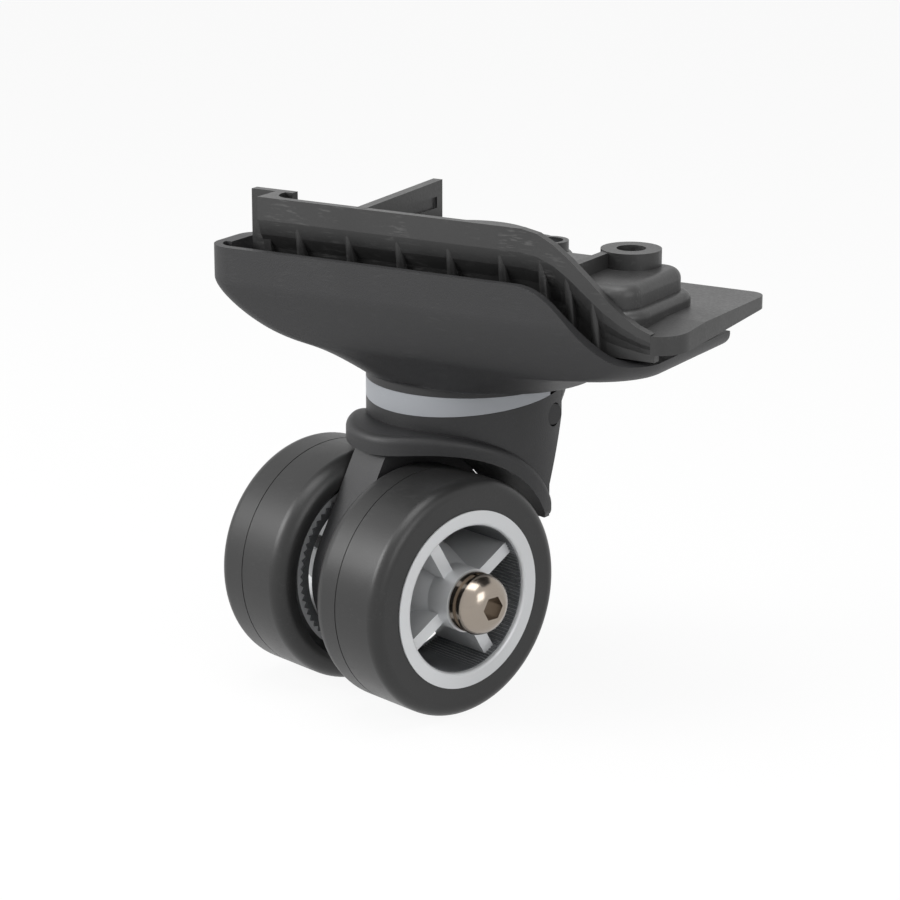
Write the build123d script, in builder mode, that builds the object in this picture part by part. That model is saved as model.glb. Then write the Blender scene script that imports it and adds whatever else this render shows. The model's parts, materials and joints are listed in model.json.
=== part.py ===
from build123d import *
from math import acos, cos, hypot, radians, sin
import os

# Twin-wheel swivel corner for a hard-shell suitcase. A moulded housing wraps the case's lower corner,
# an inner plate backs it from inside, and a trailing fork with two wheels swivels beneath them.
# The origin lies on the swivel axis, in the flat seat on top of the bearing tower, 103.3 above the
# floor. +Z points up into the case, +X runs along the long housing arm and +Y along the short one.

# ---- Driving sizes, in millimetres and degrees; heights are above the seat -------------------------
swivel_rest_angle = -17.0     # the axle's direction at rest, turned about +Z from +X
trail = 24.3                  # swivel axis to axle

# Wheels: distances along the axle are from the fork's middle
wheel_diameter = 55.0
tyre_thickness = 7.0
tyre_inner_face = 5.5
tyre_outer_face = 27.5
tyre_inner_shoulder = 3.8
tyre_outer_shoulder = 2.8
tyre_tuck = 2.1               # bevel where the tyre's inner face meets the hub
tyre_seam = 14.0              # moulding line round the near tread
tyre_seam_depth = 0.12
tyre_seam_width = 0.3
hub_rim_wall = 3.5
hub_inner_face = 7.8
hub_outer_face = 27.8
hub_face_round = 0.9
spoke_count = 4
spoke_width = 3.0
spoke_front = 25.0
spoke_back = 9.0
spoke_angle = 31.0
boss_nose_radius = 7.25
boss_back_radius = 10.6
boss_outer_face = 28.5
boss_inner_face = 6.2
boss_nose_length = 6.5
boss_flare_length = 9.0
boss_bore_radius = 5.6

# Axle: a tapped barrel from the far side and a screw from the near side
axle_radius = 4.0
head_radius = 6.95
head_height = 4.4
head_edge = 0.7
head_flat_radius = 3.7
head_dome_radius = 5.2
hex_socket = 5.0              # across flats
hex_socket_depth = 2.8
shank_radius = 2.45
thread_gap = 0.05
screw_length = 18.0
tapped_length = 20.0
flat_washer_radius = 6.9
flat_washer_thickness = 1.2
spring_washer_radius = 6.45
spring_washer_thickness = 1.4
spring_washer_slot = 1.0
spacer_wall = 1.0
axle_fit = 0.05

# Ball bearings
large_bearing_radius = 8.0
large_bearing_width = 5.0
large_bearing_balls = 9
small_bearing_radius = 6.0
small_bearing_width = 3.5
small_bearing_balls = 12
bearing_land = 0.3            # an inner ring stands this far past its outer ring
swivel_bearing_radius = 11.0
swivel_bearing_width = 7.0
swivel_bearing_balls = 7
swivel_bearing_base = -15.3
ring_share = 0.3              # a ring's share of the section from bore to outside
ball_share = 0.56             # a ball's diameter as a share of that section
race_gap = 0.03
shield_thickness = 0.25
shield_gap = 0.15

# Fork body: distances ahead are from the swivel axis towards the axle
leg_half_thickness = 5.2
leg_foot_radius = 18.2
leg_boss_radius = 5.1
leg_front_ahead = 25.5
leg_front_drop = 3.4          # the leg's root reaches this far below the arch in front ...
leg_back_ahead = -16.0
leg_back_drop = 5.7           # ... and this far at the back
leg_slope_rise = 0.3          # the leg's rear edge aims this far above the arch
collar_radius = 23.1
collar_top = -30.7
collar_roof = 3.2
collar_wall = 2.4
collar_skirt = -42.8
spine_taper_start = -36.5
spine_end = -60.0
spine_end_radius = 15.5

# Trim band and hood
band_top = -32.9
band_height = 5.0             # in front; its lower edge rises towards the back
band_rise = 6.2               # slope of that edge
band_half_angle = 104.0
shell_wall = 2.2              # band and hood share one thickness
shell_gap = 0.1
band_gap = 0.05
arch_cover = 0.7              # kingpin boss to the crown of the arch over the wheels
hood_clear = 3.0              # tread to hood ceiling
hood_ceiling = 2.0
hood_bead_height = 4.2
hood_bead_stand = 2.3
hood_tail_stand = (1.2, -0.4)  # the brim's stand beside the swivel axis, and behind it
hood_nose_ahead = 31.0
hood_nose_radius = 18.0
hood_bead_round = 1.8
hood_back_top = -11.6         # the hood's back edges lie this far ahead at the band ...
hood_back_low = -5.6          # ... and this far ahead at hood_low
hood_knee = -41.0             # above this height those edges are upright
hood_low = -56.0
hood_end = -63.5
pin_radius = 2.45
pin_hole_gap = 0.3
pin_ahead = -7.6
pin_height = -39.9
pin_length = 4.6

# Kingpin and its stack
kingpin_flange_radius = 9.5
kingpin_flange_height = -40.0
kingpin_flange_thickness = 3.0
kingpin_body_radius = 6.5
kingpin_journal_radius = 5.0
kingpin_end = -3.4
kingpin_cover = 1.6           # moulding below the kingpin's flange
kingpin_hub_wall = 2.2
journal_clearance = 0.05
bush_wall = 1.5
bush_flange_radius = 8.6
bush_flange_thickness = 1.0
bush_length = 12.0
thrust_outer_radius = 17.5
thrust_inner_radius = 9.6
thrust_thickness = 1.0
running_gap = 0.05
kingpin_washer_radius = 6.0
kingpin_washer_thickness = 1.2
circlip_radius = 6.4
circlip_thickness = 0.8
circlip_groove = 0.5
circlip_opening = 5.0

# Outer housing
housing_base = -30.3          # underside of the bowl, just over the collar
housing_wall = 2.0
housing_floor = 3.0
housing_left_wall = 3.6
long_end = 64.4
# Outlines of the bowl: height over its base, reach to the left, right, front and back of the swivel
# axis, corner radius, and where the notch between its two arms begins in X and in Y.
bowl_rows = (
    (0.0, 24.4, 24.4, 24.4, 24.4, 24.0, 22.0, 22.0),
    (4.0, 27.0, 38.0, 27.5, 30.0, 18.0, 18.0, 18.0),
    (8.0, 34.3, 53.0, 31.5, 35.0, 14.0, 12.0, 12.0),
    (10.2, 38.2, 61.2, 33.0, 36.5, 11.0, 6.0, 9.0),
    (13.9, 42.0, 63.8, 34.8, 38.0, 8.0, 1.0, 7.0),
    (21.7, 47.0, long_end, 37.0, 40.0, 6.0, -3.0, 5.5),
)
notch_round = 5.0
skirt_radius = 24.0
skirt_flare = 12.0
rim_height = -1.1
rim_band = 7.5
arm_drop = 15.3               # from the rim's plateau down to the ends of its arms
long_drop = (33.5, 60.5)      # where the rim falls along the long arm ...
short_drop = (-24.0, 24.0)    # ... and along the short one
tower_radius = 14.2
housing_web = 1.8             # webs from the tower to the case screws' posts
housing_web_drop = 1.0        # they stop this far below the arms' rim
post_radius = 4.2
post_base = -22.4             # those posts start here, inside the bowl's floor
pilot_radius = 1.4
pilot_depth = 9.0

# Inner plate: its front wall leans back, so the case's shell can curve under it
channel = 4.0                 # room for that shell between housing rim and plate
plate_wall = 2.0
plate_top = 10.5
plate_left = -34.8
plate_drop = (33.0, 67.0)     # where the wall's top falls ...
plate_dip = -9.2              # ... to this height, a little below the flange's top
plate_foot = -9.4
plate_foot_low = -15.4
plate_foot_drop = (40.0, 54.0)
# The wall's outline from its top: distance behind the top, share of the wall's height
lean_right = 0.5              # share of that lean left at the right end
lean_rows = ((0.0, 0.0), (0.0, 0.26), (1.2, 0.44), (3.2, 0.6), (4.2, 0.77), (4.2, 1.0))
wall_stations = (plate_left, 33.0, 37.0, 41.0, 45.0, 49.0, 53.0, 57.0, 61.0, 64.5)
flange_height = -8.2
flange_thickness = 2.4
flange_end = 70.4
flange_back = 12.4
flange_corner = 6.5
flange_side = 1.0
flange_rear = 42.0
flange_left = -41.4
flange_round = 4.0
lip_start = 62.0
lip_front = -13.3             # underside of the lip at the front, rising to ...
lip_rear = -10.9              # ... this height at the back
dip_start = -19.0             # ahead of this the flange's right end slopes down to the wall
deck_thickness = 2.2
deck_end = 58.8
deck_front = -31.3
deck_back = -4.0
deck_radius = 17.0
deck_corner = 5.0
deck_edge_round = 2.4
bench_width = 2.2             # step round the deck
bench_height = -5.0
bench_edge_round = 1.9
fin_position = -8.0
fin_top = 11.6                # at its rear end; it slopes down to the wall
fin_back = 0.9
fin_thickness = 2.4
fin_recess = 0.6
fin_recess_length = 10.5
fin_recess_height = 2.6
fin_recess_drop = 3.6
gusset_thickness = 1.9
gusset_positions = (-33.7, -24.6, -11.4, 1.6, 14.6, 27.6, 37.6, 44.1, 50.6)
gusset_start = 3.5            # below the wall's top
gusset_lean = 2.5             # a gusset's foot lies this far behind the wall's top
gusset_root = 1.6             # depth a gusset's web reaches into the wall
hook_left = -41.4
hook_right = -30.3
hook_front = -25.6
hook_thickness = 2.2
hook_web = 2.6
hook_round = 1.2
hook_root = 4.0               # round between the hook's web and the wall
case_boss_radius = 6.7
case_hole_radius = 3.25
case_boss_height = 3.6        # top of the bosses on the deck
low_boss_height = -5.2        # top of the boss on the flange
long_hole = (47.6, -9.8)
short_hole = (-24.5, 27.0)
corner_hole = (-27.0, -15.0)
boss_rib_height = 3.4
tie_count = 3
tie_circle = 19.5
tie_start = 40.0
tie_post_radius = 4.4
tie_edge = 0.6                # plate round those posts
tie_head_radius = 2.8
tie_head_height = 2.0
tie_head_gap = 0.3
tie_shank_radius = 1.5
tie_hole_gap = 0.2
tie_length = 12.0
tie_recess = 0.9              # cross recess in each head

# ---- Levels, directions and planes worked out from them --------------------------------------------
wheel_radius = wheel_diameter / 2
hub_rim_radius = wheel_radius - tyre_thickness
kingpin_flange_base = kingpin_flange_height - kingpin_flange_thickness
hub_base = kingpin_flange_base - kingpin_cover
arch_crown = hub_base - arch_cover
hood_radius = wheel_radius + hood_clear
axle_height = arch_crown - hood_radius
axle_turn = radians(swivel_rest_angle)
axle_dir = Vector(cos(axle_turn), sin(axle_turn), 0)
trail_dir = Vector(sin(axle_turn), -cos(axle_turn), 0)
axle_centre = trail_dir * trail + Vector(0, 0, axle_height)
side_plane = Plane(origin=(0, 0, 0), x_dir=trail_dir, z_dir=axle_dir * -1)
swivel_profile = Plane(origin=(0, 0, 0), x_dir=(0, 0, 1), z_dir=(0, 1, 0))

hood_inner_radius = collar_radius - shell_wall
seat_radius = hood_inner_radius - shell_gap
large_bearing_start = tyre_inner_face + 0.2
large_bearing_end = large_bearing_start + large_bearing_width
small_bearing_start = boss_outer_face - small_bearing_width
washer_start = boss_outer_face + bearing_land
spring_start = washer_start + flat_washer_thickness
head_start = spring_start + spring_washer_thickness
swivel_bearing_top = swivel_bearing_base + swivel_bearing_width
flange_base = flange_height - flange_thickness
tie_disc_radius = tie_circle + tie_post_radius + tie_edge
arm_rim = rim_height - arm_drop
left_face, _, front_face, rear_face, rim_round = bowl_rows[-1][1:6]
plate_face = channel - front_face


def fork_level(height):
    """Horizontal plane turned with the fork: local X along the axle, local Y rearwards."""
    return Plane(origin=(0, 0, height), x_dir=axle_dir, z_dir=(0, 0, 1))


def axle_axis(side):
    """The axle's axis, pointing outwards on one side."""
    return Axis(axle_centre, axle_dir * side)


def axle_profile(side):
    """Plane for profiles turned about the axle: local X outwards, local Y away from the axis."""
    return Plane(origin=axle_centre, x_dir=axle_dir * side, z_dir=trail_dir * side)


def axle_face(side, distance):
    """Plane across the axle that faces outwards: local X rearwards on the near side, local Y up."""
    origin = axle_centre + axle_dir * (side * distance)
    return Plane(origin=origin, x_dir=trail_dir * -side, z_dir=axle_dir * side)


def nearest(sketch, x, y):
    """The sketch's corner nearest a point."""
    return sketch.vertices().sort_by(lambda corner: hypot(corner.X - x, corner.Y - y))[0]


def ring(inner, outer, start, end):
    """Rectangle for a turned ring, in a profile whose X runs along the axis."""
    with Locations(((start + end) / 2, (inner + outer) / 2)):
        Rectangle(end - start, outer - inner)


def save(builder, name):
    builder.part.label = name
    export_step(builder.part, f"parts/{name}.step")


os.makedirs("parts", exist_ok=True)


# ---- Ball bearings ---------------------------------------------------------------------------------
def bearing(name, profile, axis, start, bore, outside, width, balls, land):
    """A shielded ball bearing in four nodes: two rings, the ball set and the shields."""
    section = outside - bore
    pitch = (outside + bore) / 2
    ball = ball_share * section / 2
    middle = start + width / 2
    inner_edge = bore + ring_share * section
    outer_edge = outside - ring_share * section
    with BuildPart() as outer_ring:
        with BuildSketch(profile):
            ring(outer_edge, outside, start, start + width)
            with Locations((middle, pitch)):
                Circle(ball + race_gap, mode=Mode.SUBTRACT)
        revolve(axis=axis)
    save(outer_ring, f"{name}_outer_ring")
    with BuildPart() as inner_ring:
        with BuildSketch(profile):
            ring(bore, inner_edge, start - land, start + width + land)
            with Locations((middle, pitch)):
                Circle(ball + race_gap, mode=Mode.SUBTRACT)
        revolve(axis=axis)
    save(inner_ring, f"{name}_inner_ring")
    centre = profile.from_local_coords(Vector(middle, 0, 0))
    with BuildPart(Plane(origin=centre, x_dir=profile.y_dir, z_dir=profile.x_dir)) as ball_set:
        with PolarLocations(pitch, balls):
            Sphere(ball)
    save(ball_set, f"{name}_balls")
    with BuildPart() as shields:
        with BuildSketch(profile):
            ring(inner_edge + shield_gap, outer_edge, start, start + shield_thickness)
            ring(inner_edge + shield_gap, outer_edge, start + width - shield_thickness, start + width)
        revolve(axis=axis)
    save(shields, f"{name}_shields")


# ---- Wheels ----------------------------------------------------------------------------------------
def tyre(name, side, seam):
    """Tread ring with rounded shoulders and a fine moulding line."""
    with BuildPart() as body:
        with BuildSketch(axle_profile(side)) as outline:
            with BuildLine():
                Polyline(
                    (tyre_inner_face + tyre_tuck, hub_rim_radius),
                    (tyre_inner_face, hub_rim_radius + tyre_tuck),
                    (tyre_inner_face, wheel_radius),
                    (tyre_outer_face, wheel_radius),
                    (tyre_outer_face, hub_rim_radius),
                    close=True,
                )
            make_face()
            fillet(nearest(outline, tyre_inner_face, wheel_radius), tyre_inner_shoulder)
            fillet(nearest(outline, tyre_outer_face, wheel_radius), tyre_outer_shoulder)
            with Locations((seam, wheel_radius)):
                Rectangle(tyre_seam_width, 2 * tyre_seam_depth, mode=Mode.SUBTRACT)
        revolve(axis=axle_axis(side))
    save(body, name)


def hub(name, side):
    """Open hub: a broad rim and a flared boss, joined by narrow spokes."""
    axis = axle_axis(side)
    neck = boss_outer_face - boss_nose_length
    with BuildPart() as body:
        with BuildSketch(axle_profile(side)) as rim:
            ring(hub_rim_radius - hub_rim_wall, hub_rim_radius, hub_inner_face, hub_outer_face)
            fillet(nearest(rim, hub_outer_face, hub_rim_radius - hub_rim_wall), hub_face_round)
        revolve(axis=axis)
        with BuildSketch(axle_profile(side)):
            with BuildLine():
                Polyline(
                    (boss_inner_face, 0),
                    (boss_inner_face, boss_back_radius),
                    (neck - boss_flare_length, boss_back_radius),
                    (neck, boss_nose_radius),
                    (boss_outer_face, boss_nose_radius),
                    (boss_outer_face, 0),
                    close=True,
                )
            make_face()
        revolve(axis=axis)
        with BuildSketch(axle_face(side, spoke_back)):
            reach = hub_rim_radius - hub_rim_wall / 2
            with PolarLocations(reach / 2, spoke_count, start_angle=spoke_angle):
                Rectangle(reach, spoke_width)
        extrude(amount=spoke_front - spoke_back)
        with BuildSketch(axle_profile(side)):
            ring(0, large_bearing_radius, boss_inner_face, large_bearing_end)
            ring(0, boss_bore_radius, large_bearing_end, small_bearing_start)
            ring(0, small_bearing_radius, small_bearing_start, boss_outer_face)
        revolve(axis=axis, mode=Mode.SUBTRACT)
    save(body, name)


far_seam = tyre_inner_face + tyre_outer_face - tyre_seam
for wheel, side, seam in (("near", 1, tyre_seam), ("far", -1, far_seam)):
    tyre(f"{wheel}_tyre", side, seam)
    hub(f"{wheel}_hub", side)
    bearing(
        f"{wheel}_inner_bearing", axle_profile(side), axle_axis(side), large_bearing_start, axle_radius,
        large_bearing_radius, large_bearing_width, large_bearing_balls, bearing_land,
    )
    bearing(
        f"{wheel}_outer_bearing", axle_profile(side), axle_axis(side), small_bearing_start, axle_radius,
        small_bearing_radius, small_bearing_width, small_bearing_balls, bearing_land,
    )


# ---- Axle stack ------------------------------------------------------------------------------------
def button_head(side):
    """Domed head with a hexagon socket."""
    crown = head_start + head_height
    with BuildPart() as head:
        with BuildSketch(axle_profile(side)):
            with BuildLine():
                Line((head_start, 0), (head_start, head_radius))
                dome_foot = (head_start + head_edge, head_radius)
                Line((head_start, head_radius), dome_foot)
                RadiusArc(dome_foot, (crown, head_flat_radius), head_dome_radius)
                Line((crown, head_flat_radius), (crown, 0))
                Line((crown, 0), (head_start, 0))
            make_face()
        revolve(axis=axle_axis(side))
        with BuildSketch(axle_face(side, crown)):
            RegularPolygon(radius=hex_socket / 2, side_count=6, major_radius=False)
        extrude(amount=-hex_socket_depth, mode=Mode.SUBTRACT)
    return head.part


with BuildPart() as axle_barrel:
    add(button_head(-1))
    with BuildSketch(axle_profile(1)):
        ring(0, axle_radius, -head_start, spring_start)
    revolve(axis=axle_axis(1))
    with BuildSketch(axle_profile(1)):
        ring(0, shank_radius + thread_gap, spring_start - tapped_length, spring_start)
    revolve(axis=axle_axis(1), mode=Mode.SUBTRACT)
save(axle_barrel, "axle_barrel")

with BuildPart() as axle_screw:
    add(button_head(1))
    with BuildSketch(axle_profile(1)):
        ring(0, shank_radius, head_start - screw_length, head_start)
    revolve(axis=axle_axis(1))
save(axle_screw, "axle_screw")

with BuildPart() as flat_washers:
    for side in (1, -1):
        with BuildSketch(axle_profile(side)):
            ring(axle_radius + axle_fit, flat_washer_radius, washer_start, spring_start)
        revolve(axis=axle_axis(side))
save(flat_washers, "flat_washers")

with BuildPart() as spring_washers:
    for side in (1, -1):
        with BuildSketch(axle_profile(side)):
            ring(axle_radius + axle_fit, spring_washer_radius, spring_start, head_start)
        revolve(axis=axle_axis(side))
        with BuildSketch(axle_face(side, spring_start)):
            with Locations((0, spring_washer_radius / 2)):
                Rectangle(spring_washer_slot, spring_washer_radius)
        extrude(amount=spring_washer_thickness, mode=Mode.SUBTRACT)
save(spring_washers, "spring_washers")

with BuildPart() as bearing_spacers:
    for side in (1, -1):
        with BuildSketch(axle_profile(side)):
            ring(
                axle_radius + axle_fit, axle_radius + spacer_wall,
                large_bearing_end + bearing_land, small_bearing_start - bearing_land,
            )
        revolve(axis=axle_axis(side))
save(bearing_spacers, "bearing_spacers")


# ---- Kingpin, its bearings and what holds it -------------------------------------------------------
collar_recess = housing_base - running_gap - thrust_thickness
groove_base = swivel_bearing_top + bearing_land + kingpin_washer_thickness

with BuildPart() as kingpin:
    with BuildSketch(swivel_profile):
        ring(0, kingpin_flange_radius, kingpin_flange_base, kingpin_flange_height)
        ring(0, kingpin_body_radius, kingpin_flange_height, collar_recess)
        ring(0, kingpin_journal_radius, collar_recess, swivel_bearing_base - bearing_land)
        ring(0, axle_radius, swivel_bearing_base - bearing_land, kingpin_end)
        with Locations((groove_base + circlip_thickness / 2, axle_radius)):
            Rectangle(circlip_thickness, 2 * circlip_groove, mode=Mode.SUBTRACT)
    revolve(axis=Axis.Z)
save(kingpin, "kingpin")

with BuildPart() as kingpin_washer:
    with BuildSketch(swivel_profile):
        ring(axle_radius + axle_fit, kingpin_washer_radius, swivel_bearing_top + bearing_land, groove_base)
    revolve(axis=Axis.Z)
save(kingpin_washer, "kingpin_washer")

with BuildPart() as kingpin_circlip:
    with BuildSketch(swivel_profile):
        ring(axle_radius - circlip_groove, circlip_radius, groove_base, groove_base + circlip_thickness)
    revolve(axis=Axis.Z)
    with BuildSketch(fork_level(groove_base)):
        with Locations((0, -circlip_radius / 2)):
            Rectangle(circlip_opening, circlip_radius)
    extrude(amount=circlip_thickness, mode=Mode.SUBTRACT)
save(kingpin_circlip, "kingpin_circlip")

bearing(
    "swivel_bearing", swivel_profile, Axis.Z, swivel_bearing_base, axle_radius,
    swivel_bearing_radius, swivel_bearing_width, swivel_bearing_balls, bearing_land,
)

bush_radius = kingpin_journal_radius + journal_clearance + bush_wall
with BuildPart() as swivel_bush:
    with BuildSketch(swivel_profile):
        bore = kingpin_journal_radius + journal_clearance
        ring(bore, bush_radius, housing_base, housing_base + bush_length)
        ring(bore, bush_flange_radius, housing_base, housing_base + bush_flange_thickness)
    revolve(axis=Axis.Z)
save(swivel_bush, "swivel_bush")

with BuildPart() as thrust_washer:
    with BuildSketch(swivel_profile):
        ring(thrust_inner_radius, thrust_outer_radius, collar_recess, collar_recess + thrust_thickness)
    revolve(axis=Axis.Z)
save(thrust_washer, "thrust_washer")


# ---- Trim band and hood ----------------------------------------------------------------------------
def edge_plane(drop):
    """Sloping plane of the band's lower edge, lowered by a gap."""
    slope = sin(radians(band_rise)) / cos(radians(band_rise))
    front = trail_dir * collar_radius + Vector(0, 0, band_top - band_height - drop)
    return Plane(origin=front, z_dir=trail_dir * slope + Vector(0, 0, 1))


def turned_profile(angle):
    """Upright half-plane on the swivel axis, turned from straight ahead: local X outwards, local Y up."""
    radial = Vector(trail_dir).rotate(Axis.Z, angle)
    return Plane(origin=(0, 0, 0), x_dir=radial, z_dir=radial.cross(Vector(0, 0, 1)))


with BuildPart() as trim_band:
    with BuildSketch(turned_profile(-band_half_angle)):
        with Locations(((hood_inner_radius + collar_radius) / 2, band_top - band_gap - band_height)):
            Rectangle(shell_wall, 2 * band_height)
    revolve(axis=Axis.Z, revolution_arc=2 * band_half_angle)
    split(bisect_by=edge_plane(0), keep=Keep.TOP)
    with BuildSketch(fork_level(band_top - band_gap)):
        Rectangle(4 * collar_radius, 4 * collar_radius)
    extrude(amount=band_height, mode=Mode.SUBTRACT)
save(trim_band, "trim_band")


def hood_side(margin):
    """Side outline ahead of the hood's back edges, moved rearwards by a margin."""
    with BuildLine() as outline:
        Polyline(
            (hood_back_top - margin, band_top + 1),
            (hood_back_top - margin, hood_knee),
            (hood_back_low - margin, hood_low),
            (hood_back_low - margin, hood_end),
            (2 * collar_radius, hood_end),
            (2 * collar_radius, band_top + 1),
            close=True,
        )
    make_face(outline.edges())


def brim_points():
    """Points round the brim's edge: along a nose circle ahead, then along a circle round the collar."""
    stand = collar_radius + hood_bead_stand
    nose_centre = hood_nose_ahead - hood_nose_radius
    shoulder = acos((stand - hood_nose_radius) / nose_centre)
    side = []
    for angle in (shoulder / 2, shoulder):
        side.append((nose_centre + hood_nose_radius * cos(angle), hood_nose_radius * sin(angle)))
    side.append((stand * cos(shoulder), stand * sin(shoulder)))
    for angle, tail in zip((90, 135), hood_tail_stand):
        reach = collar_radius + tail
        side.append((reach * cos(radians(angle)), reach * sin(radians(angle))))
    left = [(across, -ahead) for ahead, across in side]
    right = [(-across, -ahead) for ahead, across in side[::-1]]
    return [(0, -hood_nose_ahead)] + left + [(0, collar_radius + hood_tail_stand[-1])] + right


with BuildPart() as brim:
    with BuildSketch(side_plane):
        with Locations((trail, axle_height)):
            Circle(hood_radius + hood_bead_height)
    extrude(amount=2 * collar_radius, both=True)
    with BuildSketch(fork_level(hood_end)):
        with BuildLine():
            Spline(*brim_points(), periodic=True)
        make_face()
    extrude(amount=-hood_end, mode=Mode.INTERSECT)
    fillet(brim.edges().filter_by(GeomType.BSPLINE), hood_bead_round)
    with BuildSketch(side_plane):
        hood_side(0)
    extrude(amount=2 * collar_radius, both=True, mode=Mode.INTERSECT)
    with BuildSketch(fork_level(hood_end)):
        Circle(hood_inner_radius)
    extrude(amount=-hood_end, mode=Mode.SUBTRACT)

with BuildPart() as ceiling:
    with BuildSketch(side_plane):
        with Locations((trail, axle_height)):
            Circle(hood_radius + hood_ceiling)
    extrude(amount=2 * collar_radius, both=True)
    with BuildSketch(fork_level(hood_end)):
        Circle(hood_inner_radius + shell_gap)
    extrude(amount=-hood_end, mode=Mode.INTERSECT)
    with BuildSketch(side_plane):
        hood_side(0)
    extrude(amount=2 * collar_radius, both=True, mode=Mode.INTERSECT)
    with BuildSketch(side_plane):
        with Locations((-collar_radius, 0)):
            Rectangle(4 * collar_radius, -4 * axle_height)
    extrude(amount=leg_half_thickness + shell_gap, both=True, mode=Mode.SUBTRACT)

with BuildPart() as fender_hood:
    with BuildSketch(swivel_profile):
        ring(hood_inner_radius, collar_radius, hood_end, band_top)
    revolve(axis=Axis.Z)
    split(bisect_by=edge_plane(band_gap), keep=Keep.BOTTOM)
    with BuildSketch(side_plane):
        hood_side(0)
    extrude(amount=2 * collar_radius, both=True, mode=Mode.INTERSECT)
    add(ceiling)
    add(brim)
    with BuildSketch(side_plane):
        with Locations((trail, axle_height)):
            Circle(hood_radius)
        with Locations((pin_ahead, pin_height)):
            Circle(pin_radius + pin_hole_gap)
    extrude(amount=2 * collar_radius, both=True, mode=Mode.SUBTRACT)
save(fender_hood, "fender_hood")

with BuildPart() as hood_pins:
    pin_end = (collar_radius**2 - pin_ahead**2) ** 0.5 - pin_hole_gap
    for side in (1, -1):
        with BuildSketch(side_plane.offset(-side * pin_end)):
            with Locations((pin_ahead, pin_height)):
                Circle(pin_radius)
        extrude(amount=side * pin_length)
save(hood_pins, "hood_pins")


# ---- Fork body: collar, spine and the leg between the wheels ---------------------------------------
with BuildPart() as spine:
    with BuildSketch(swivel_profile):
        with BuildLine():
            Polyline(
                (band_top, collar_radius),
                (spine_taper_start, collar_radius),
                (spine_end, spine_end_radius),
                (spine_end, spine_end_radius - collar_wall),
                (spine_taper_start, seat_radius - collar_wall),
                (band_top, seat_radius - collar_wall),
                close=True,
            )
        make_face()
    revolve(axis=Axis.Z)
    with BuildSketch(side_plane):
        hood_side(shell_gap * 3)
    extrude(amount=2 * collar_radius, both=True, mode=Mode.SUBTRACT)

leg_reach = (seat_radius**2 - leg_half_thickness**2) ** 0.5 - shell_gap

with BuildPart() as fork_body:
    with BuildSketch(swivel_profile):
        ring(0, collar_radius, band_top, collar_top)
        ring(0, seat_radius, collar_top - collar_roof, band_top)
        ring(seat_radius - collar_wall, seat_radius, collar_skirt, band_top)
        ring(0, kingpin_flange_radius + kingpin_hub_wall, hub_base, band_top)
    revolve(axis=Axis.Z)
    add(spine)
    with BuildSketch(side_plane):
        with Locations((trail, axle_height)):
            Circle(leg_foot_radius)
        with BuildLine():
            Polyline(
                (leg_front_ahead, arch_crown - leg_front_drop),
                (leg_back_ahead, arch_crown + leg_slope_rise),
                (leg_back_ahead, collar_top - collar_roof),
                (leg_front_ahead - 3, collar_top - collar_roof),
                close=True,
            )
        make_face()
        make_hull()
        with Locations((trail, axle_height)):
            Circle(hood_radius - shell_gap, mode=Mode.INTERSECT)
        with BuildLine():
            Polyline(
                (leg_back_ahead, collar_top - collar_roof),
                (leg_back_ahead, arch_crown - leg_back_drop),
                (leg_reach, arch_crown - leg_front_drop),
                (leg_reach, collar_top - collar_roof),
                close=True,
            )
        make_face()
    extrude(amount=leg_half_thickness, both=True)
    for side in (1, -1):
        with BuildSketch(axle_face(side, leg_half_thickness)):
            Circle(leg_boss_radius)
        extrude(amount=large_bearing_start - bearing_land - leg_half_thickness)
    with BuildSketch(axle_profile(1)):
        ring(0, axle_radius + axle_fit, -tyre_outer_face, tyre_outer_face)
    revolve(axis=axle_axis(1), mode=Mode.SUBTRACT)
    with BuildSketch(swivel_profile):
        ring(0, thrust_outer_radius + shell_gap, collar_recess, collar_top)
        ring(0, kingpin_body_radius, kingpin_flange_height, collar_top)
        ring(0, kingpin_flange_radius, kingpin_flange_base, kingpin_flange_height)
    revolve(axis=Axis.Z, mode=Mode.SUBTRACT)
    with BuildSketch(side_plane):
        with Locations((pin_ahead, pin_height)):
            Circle(pin_radius)
    extrude(amount=2 * collar_radius, both=True, mode=Mode.SUBTRACT)
save(fork_body, "fork_body")


# ---- Outer housing ---------------------------------------------------------------------------------
def outline(left, right, front, back, rounding):
    """Rounded rectangle reaching given distances from the swivel axis."""
    with Locations(((right - left) / 2, (back - front) / 2)):
        RectangleRounded(left + right, front + back, rounding)


def bowl(inset, base):
    """Bowl with a long and a short arm round the bearing tower, inset evenly and open at the top."""
    with BuildPart() as notch:
        for rise, left, right, front, back, rounding, notch_left, notch_front in bowl_rows:
            with BuildSketch(Plane.XY.offset(housing_base + rise)):
                far = 2 * long_end
                outline(inset - notch_left, far, inset - notch_front, far, notch_round + inset)
        loft(ruled=True)
        extrude(notch.faces().sort_by(Axis.Z)[-1], amount=plate_top - rim_height)
        with BuildSketch(Plane.XY.offset(housing_base)):
            Circle(skirt_radius - inset)
        extrude(amount=plate_top - housing_base, taper=-skirt_flare, mode=Mode.SUBTRACT)
    with BuildPart() as body:
        for rise, left, right, front, back, rounding, notch_left, notch_front in bowl_rows:
            with BuildSketch(Plane.XY.offset(base + rise)):
                outline(left - inset, right - inset, front - inset, back - inset, rounding - inset)
        loft()
        extrude(body.faces().sort_by(Axis.Z)[-1], amount=rim_band + inset)
        add(notch, mode=Mode.SUBTRACT)
    return body.part


def fall(span, high, low):
    """Outline of everything above an edge that falls smoothly between two stations."""
    start, end = span
    reach = (end - start) * 0.42
    with BuildLine() as edge:
        Bezier((start, high), (start + reach, high), (end - reach, low), (end, low))
        far, top = 2 * long_end, 2 * plate_top
        Polyline((end, low), (far, low), (far, top), (start, top), (start, high))
    make_face(edge.edges())


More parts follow.
